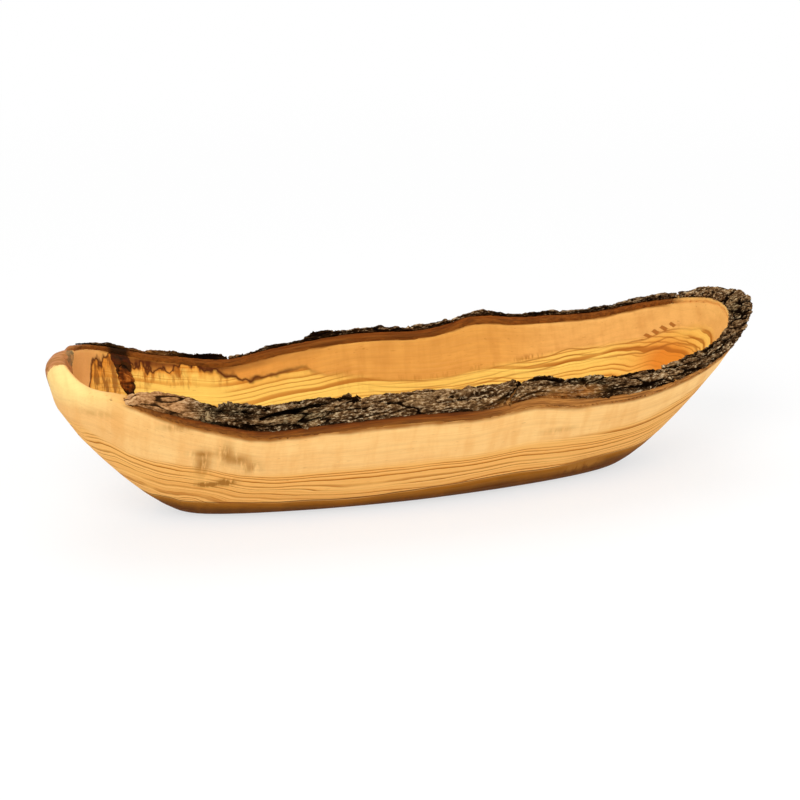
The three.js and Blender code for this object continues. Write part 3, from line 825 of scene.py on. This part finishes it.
# %% [markdown]
# ## Outer bark
# Old olive bark is a crust of long flakes, split by deep cracks that run along the log, grey where it has
# weathered and black in the cracks. Bump alone would leave a smooth outline, so the relief is real: each
# plate's copy is pushed in and out by noise stretched along the log. Where that noise crosses zero it
# leaves a long crack. The height is kept at every vertex, and the finish reads it.

# %% Outer bark: relief
CRACK_SIZE = (34, 5)
CRACK_DEPTH = 1.8
CRACK_WIDTH = 0.11
FLAKE_SIZE = (13, 2.1)
FLAKE_DEPTH = 0.8
FLAKE_EDGE = 0.2
FURROW_SIZE = (24, 3.2)
FURROW_RELIEF = 1.3
STRING_SIZE = (11, 1.15)
STRING_RELIEF = 0.9
GRAIN_SIZE = (2.6, 1.0)
GRAIN_RELIEF = 0.6
SPLIT_FLOOR = 0.4
SPLITS = [
    ([(-89, -53, 72.5), (-71, -53.6, 75.5), (-53, -53.7, 78.3)], 1.5, 3.5),
    ([(-97, -50, 76.5), (-86, -50.5, 76.5)], 1.1, 2.5),
    ([(44, -57, 73), (62, -54, 73)], 1.0, 2.2),
]


def along_log(place, size, seed):
    """A place in the log measured in grains of a given length and width."""
    along, around, depth = place
    return Vector((along / size[0], around / size[1], depth / size[1] + seed))


def crust_at(place, seed):
    """Relief of the bark in millimetres, and how clear of a crack a place is, from 0 to 1."""
    crack = smoothstep(0.0, CRACK_WIDTH, abs(noise.noise(along_log(place, CRACK_SIZE, seed))))
    flake = smoothstep(0.0, FLAKE_EDGE, abs(noise.noise(along_log(place, FLAKE_SIZE, seed + 3))))
    furrow = noise.fractal(along_log(place, FURROW_SIZE, seed + 5), 0.9, 2.1, 3)
    string = 0.5 - 2 * abs(noise.noise(along_log(place, STRING_SIZE, seed + 9)))
    grain = noise.fractal(along_log(place, GRAIN_SIZE, seed + 7), 0.8, 2.1, 3)
    sunk = CRACK_DEPTH * (1 - crack) + FLAKE_DEPTH * (1 - flake)
    relief = FURROW_RELIEF * furrow + STRING_RELIEF * string + GRAIN_RELIEF * grain - sunk
    return relief, crack * (0.5 + 0.5 * flake)


def split_at(point):
    """How deep the long splits cut at a point, in millimetres, and how clear of them it is."""
    sunk, clear = 0.0, 1.0
    for line, width, deep in SPLITS:
        if line[0][0] - width < point.x < line[-1][0] + width:
            cut = smoothstep(width, SPLIT_FLOOR * width, line_distance(point, line)[0])
            sunk += deep * cut
            clear *= 1 - cut
    return sunk, clear


print("relief at three places, mm:", [round(crust_at((x, 0, 0), 0.0)[0], 2) for x in (0, 40, 80)])

# %% Outer bark: dark, pale, grown over, bare and worn places
DARK_AND_PALE = [
    # The dark places at x -105 and x 97, low on the near side, are painted shade under the overhanging
    # bark
    ((-105, -52, 68), (14, 9, 5), -1.4),
    ((-112, -49, 78), (4, 9, 9), -1.2),
    ((-156, -42, 87), (10, 9, 9), 1.4),
    ((-69, -56, 71.5), (15, 6, 3), 0.9),
    ((-101, -48, 79), (8, 6, 3), 0.4),
    ((-38, -53, 76), (14, 8, 3), 0.5),
    ((8, -55, 76), (14, 5, 2), 0.9),
    ((97, -52, 66), (12, 6, 4), -1.6),
    ((40, -55, 74), (70, 20, 12), 0.45),
    ((140, -40, 70), (45, 25, 15), 0.6),
    ((188, 0, 90), (22, 30, 15), 0.7),
    ((-34, 50, 75), (13, 9, 6), -0.8),
    ((-103, 45, 68), (11, 12, 16), -1.8),
    ((-150, 36, 88), (6, 12, 9), -1.6),
]
LICHEN_SPOTS = [
    ((-118, -51, 76), (5, 6, 5), 0.7),
    ((-100, -48, 79), (9, 6, 4), 0.4),
    ((-68, -56, 72), (14, 6, 3), 0.7),
    ((91, -47, 74), (10, 6, 4), 0.5),
    ((190, -3, 90), (6, 8, 6), 0.5),
]
BARE_SPOTS = [
    ((69, -58, 68), (16, 4, 4.5), 1.1),
    ((86, -52, 69), (8, 4, 2.5), 0.9),
    ((46, -60, 68), (14, 4, 2.5), 0.8),
    ((-132, 42, 80), (13, 12, 9), 0.55),
]
# Worn off by so many millimetres; the negative one lifts the end of a loose flake on the far side
WORN = [((160, -32, 74), (22, 16, 14), 2.2), ((-38, 50, 77), (9, 10, 8), -1.2)]
# The tan bark of the near tip starts and is full here, leftwards and towards the near side
TAN_ALONG = (112, 136)
TAN_SIDE = (0, -20)
print("places on the bark:", len(DARK_AND_PALE + LICHEN_SPOTS + BARE_SPOTS + WORN))

# %% Outer bark: plates
BARK_VOXEL = 0.42
BARK_SMOOTHING = 2
TAN_CALM = 0.45
BARE_CALM = 0.6
BARE_SINK = 1.2
CRUST_FEATHER = 1.2
SEED_STEP = 10.0
# How strong the relief is on each plate
PLATES = {
    "near_tip_bark": 0.75,
    "near_left_bark": 1.1,
    "near_middle_bark": 1.0,
    "near_right_bark": 0.95,
    "right_end_bark": 0.8,
    "far_right_bark": 0.65,
    "far_middle_bark": 0.8,
    "far_thin_bark": 0.55,
    "far_left_bark": 0.75,
    "far_tip_bark": 0.5,
}


def bark_plate(node, name, strength, seed):
    piece = even_copy(node, name, BARK_VOXEL, BARK_SMOOTHING)
    places, points = [], []
    values = {"relief": [], "clear": [], "tone": [], "lichen": [], "bare": [], "tan": []}
    for point, facing in skin_of(piece):
        place = log_place(*point)
        out = radial_at(*point)
        relief, clear = crust_at(place, seed)
        sunk, unsplit = split_at(point)
        upward = facing.dot(out)
        bare = min(1.0, patches_at(point, BARE_SPOTS))
        tan = smoothstep(*TAN_ALONG, -point.x) * smoothstep(*TAN_SIDE, point.y)
        calm = strength * (1 - TAN_CALM * tan) * (1 - BARE_CALM * bare)
        lift = calm * relief - sunk - BARE_SINK * bare
        worn = patches_at(point, WORN) * smoothstep(-0.2, 0.5, upward)
        raised = point + facing * (lift * smoothstep(-0.7, 0.0, upward)) - out * worn
        points.append(raised - CRUST_FEATHER * feather_at(point))
        places.append(place)
        values["relief"].append(relief)
        values["clear"].append(clear * unsplit)
        # Tone also holds painted shade: faces turned down and away from the log's outside are darkened
        values["tone"].append(patches_at(point, DARK_AND_PALE) - smoothstep(0.6, -0.1, upward))
        values["lichen"].append(patches_at(point, LICHEN_SPOTS))
        values["bare"].append(bare)
        values["tan"].append(tan)
    move_skin(piece, points)
    set_vectors(piece, "log", places)
    for value, numbers in values.items():
        set_values(piece, value, numbers)
    return piece


plates = {}
for seed, (node, strength) in enumerate(PLATES.items()):
    plates[node] = bark_plate(node, node.replace("bark", "crust"), strength, SEED_STEP * seed)
print("bark vertices:", sum(len(plate.data.vertices) for plate in plates.values()))

# %% Outer bark: palette
CRACK_BLACK = rgb(0.006, 0.0025, 0.001)
CRUST_COLOURS = [
    (0.0, CRACK_BLACK),
    (0.35, rgb(0.028, 0.012, 0.004)),
    (0.6, rgb(0.115, 0.056, 0.021)),
    (1.0, rgb(0.38, 0.22, 0.092)),
]
TAN_COLOURS = [
    (0.0, rgb(0.05, 0.02, 0.006)),
    (0.3, rgb(0.19, 0.082, 0.026)),
    (0.6, rgb(0.42, 0.205, 0.078)),
    (1.0, rgb(0.68, 0.40, 0.185)),
]
BARE_COLOURS = [
    (0.0, rgb(0.05, 0.014, 0.003)),
    (0.4, rgb(0.26, 0.085, 0.015)),
    (1.0, rgb(0.75, 0.37, 0.11)),
]
PALE_FLECK = rgb(0.66, 0.51, 0.31)
LICHEN = rgb(0.27, 0.205, 0.10)
print("colours of the bark:", len(CRUST_COLOURS + TAN_COLOURS + BARE_COLOURS) + 2)

# %% Node group: bark crust
w, given, result = new_group(
    "bark_crust",
    {"Log": "Vector", "Relief": "Float", "Clear": "Float", "Tone": "Float", "Lichen": "Float"},
    {"Color": "Color", "Tan": "Color", "Bare": "Color", "Height": "Float"},
)
speck = w.noise(w.stretch(given["Log"], (2.6, 0.8, 0.8)), 4.0, 0.7, 2.0)
patch = w.noise(w.stretch(given["Log"], (26, 9, 9)), 3.0, 0.6, 5.0)
# Low places are darker and cracks black: partly the bark's own dark, partly painted shade in the hollows
ground = w.math("ADD", given["Relief"], w.smooth(speck, 0.3, 0.7, -1.5, 1.5))
toned_and_shaded = w.math("ADD", ground, w.math("MULTIPLY", given["Tone"], 1.1))
level = w.node("ShaderNodeMapRange", {0: toned_and_shaded, 1: -2.6, 2: 2.4}).outputs[0]
in_crack = w.smooth(given["Clear"], 0.6, 0.1)
crust = w.ramp(level, CRUST_COLOURS)
weathered = w.smooth(patch, 0.4, 0.65, 0.3, 1.0)
fleck = w.math("MULTIPLY", w.smooth(speck, 0.51, 0.64), w.smooth(toned_and_shaded, -1.2, 0.8))
crust = w.mix(w.math("MULTIPLY", fleck, weathered), crust, PALE_FLECK)
growth = w.math("MULTIPLY", given["Lichen"], w.smooth(speck, 0.42, 0.6))
crust = w.mix(growth, crust, LICHEN)
w.feed(result["Color"], w.mix(in_crack, crust, CRACK_BLACK))
w.feed(result["Tan"], w.mix(in_crack, w.ramp(level, TAN_COLOURS), CRUST_COLOURS[1][1]))
strand = use_group(w, "fibre", {"Log": given["Log"], "Length": 14.0, "Width": 1.3})["Streak"]
w.feed(result["Bare"], w.ramp(strand, BARE_COLOURS))
w.feed(result["Height"], speck)
print("group bark_crust has", len(w.tree.nodes), "nodes")

# %% Outer bark: finish
BARK_ROUGHNESS = 0.95
BARK_GLOSS = 0.0
crust_finish, w, shader = new_material("weathered_bark", BARK_ROUGHNESS, BARK_GLOSS)
inputs = {socket: w.attribute(socket.lower()) for socket in ("Relief", "Clear", "Tone", "Lichen")}
inputs["Log"] = w.attribute("log", "Vector")
bark = use_group(w, "bark_crust", inputs)
colour = w.mix(w.attribute("tan"), bark["Color"], bark["Tan"])
w.feed(shader["Base Color"], w.mix(w.attribute("bare"), colour, bark["Bare"]))
bump = w.node("ShaderNodeBump", {"Strength": 0.7, "Distance": 0.0008, "Height": bark["Height"]})
w.feed(shader["Normal"], bump.outputs[0])
for node, plate in plates.items():
    settle(plate, node, crust_finish)

# %% [markdown]
# ## Ingrown bark
# Where a branch once joined the log, a seam of bark has grown into the wood and shows on the far wall.
# It is the same crust, but it never saw the weather: it is dark, brown and fibrous, and has no lichen.

# %% Ingrown bark
SEAM_RELIEF = 0.35
SEAM_SEED = 200.0
SEAM_ROUGHNESS = 0.9
SEAM_GLOSS = 0.05
SEAM_RED = rgb(0.15, 0.034, 0.004)
SEAM_TAN = rgb(0.46, 0.15, 0.022)
SEAM_COLOURS = [(0.0, POCKET_BLACK), (0.5, SEAM_RED), (1.0, SEAM_TAN)]

seam = bark_plate("bark_seam", "ingrown_crust", SEAM_RELIEF, SEAM_SEED)
seam_finish, w, shader = new_material("ingrown_bark_fibre", SEAM_ROUGHNESS, SEAM_GLOSS)
log = w.attribute("log", "Vector")
relief = w.math("ADD", w.attribute("relief"), w.sway(log, (3, 12, 6), 7.0, 4.0))
w.feed(shader["Base Color"], w.ramp(w.smooth(relief, -2.0, 2.5), SEAM_COLOURS))
settle(seam, "bark_seam", seam_finish)

# %% [markdown]
# ## Floor and light
# The bowl stands on a plain white floor under large soft lamps, as in a product picture. The floor looks
# white to the camera by its own glow near full strength, and the rest of it is a matt surface that takes
# the bowl's shadow. Light that bounces off it is that of the matt surface alone.

# %% Floor
FLOOR_SIZE = 6.0

floor_mesh = bpy.data.meshes.new("floor")
grid = bmesh.new()
bmesh.ops.create_grid(grid, x_segments=1, y_segments=1, size=FLOOR_SIZE / 2)
grid.to_mesh(floor_mesh)
grid.free()
floor = bpy.data.objects.new("floor", floor_mesh)
bpy.context.scene.collection.objects.link(floor)
print("floor of", FLOOR_SIZE, "m")

# %% Finish of the floor
SHADOW_FROM = 0.2
SHADOW_REACH = 0.9
SHADOW_GLOW = 0.65
FLOOR_GREY = rgb(0.88, 0.88, 0.88)
WHITE = rgb(1, 1, 1)


def seen_directly(w):
    """1 for rays from the camera, from a mirror or through glass."""
    path = w.node("ShaderNodeLightPath").outputs
    shiny = w.math("ADD", path["Is Glossy Ray"], path["Is Transmission Ray"])
    return w.math("ADD", path["Is Camera Ray"], shiny, clamp=True)


floor_finish = bpy.data.materials.new("white_floor")
floor_finish.use_nodes = True
floor_finish.node_tree.nodes.clear()
w = Wiring(floor_finish.node_tree)
place = w.node("ShaderNodeTexCoord").outputs["Object"]
away = w.node("ShaderNodeVectorMath", {0: place}, operation="LENGTH").outputs["Value"]
glow = w.smooth(away, SHADOW_FROM, SHADOW_REACH, SHADOW_GLOW, 1.0)
matt = w.node("ShaderNodeBsdfDiffuse", {"Color": FLOOR_GREY}).outputs[0]
white = w.node("ShaderNodeEmission", {"Color": WHITE, "Strength": 1.0}).outputs[0]
share = w.math("MULTIPLY", seen_directly(w), glow)
blend = w.node("ShaderNodeMixShader", {0: share, 1: matt, 2: white})
w.node("ShaderNodeOutputMaterial", {"Surface": blend.outputs[0]})
floor_mesh.materials.append(floor_finish)
print("the floor glows white beyond, m:", SHADOW_REACH)

# %% Background
AMBIENT = 0.5
world = bpy.data.worlds.new("studio")
bpy.context.scene.world = world
world.use_nodes = True
world.node_tree.nodes.clear()
w = Wiring(world.node_tree)
strength = w.smooth(seen_directly(w), 0.0, 1.0, AMBIENT, 1.0)
sky = w.node("ShaderNodeBackground", {"Color": WHITE, "Strength": strength})
w.node("ShaderNodeOutputWorld", {"Surface": sky.outputs[0]})
print("ambient light:", AMBIENT)

# %% Lamps
LAMPS = {
    "key": ((-0.7, -1.0, 1.3), 1.0, 17.0),
    "fill": ((1.1, -1.0, 0.8), 1.2, 7.0),
    "top": ((0.0, 0.5, 1.5), 1.2, 9.0),
}
for name, (place, size, power) in LAMPS.items():
    lamp_data = bpy.data.lights.new(name, "AREA")
    lamp_data.size = size
    lamp_data.energy = power
    lamp = bpy.data.objects.new(name, lamp_data)
    lamp.location = place
    lamp.rotation_euler = (CAMERA_TARGET - lamp.location).to_track_quat("-Z", "Y").to_euler()
    bpy.context.scene.collection.objects.link(lamp)
bpy.context.scene.view_settings.view_transform = "Standard"
print("lamps:", ", ".join(LAMPS))

# %% [markdown]
# ## Size
# Relief may stand a little proud of the packed solids.
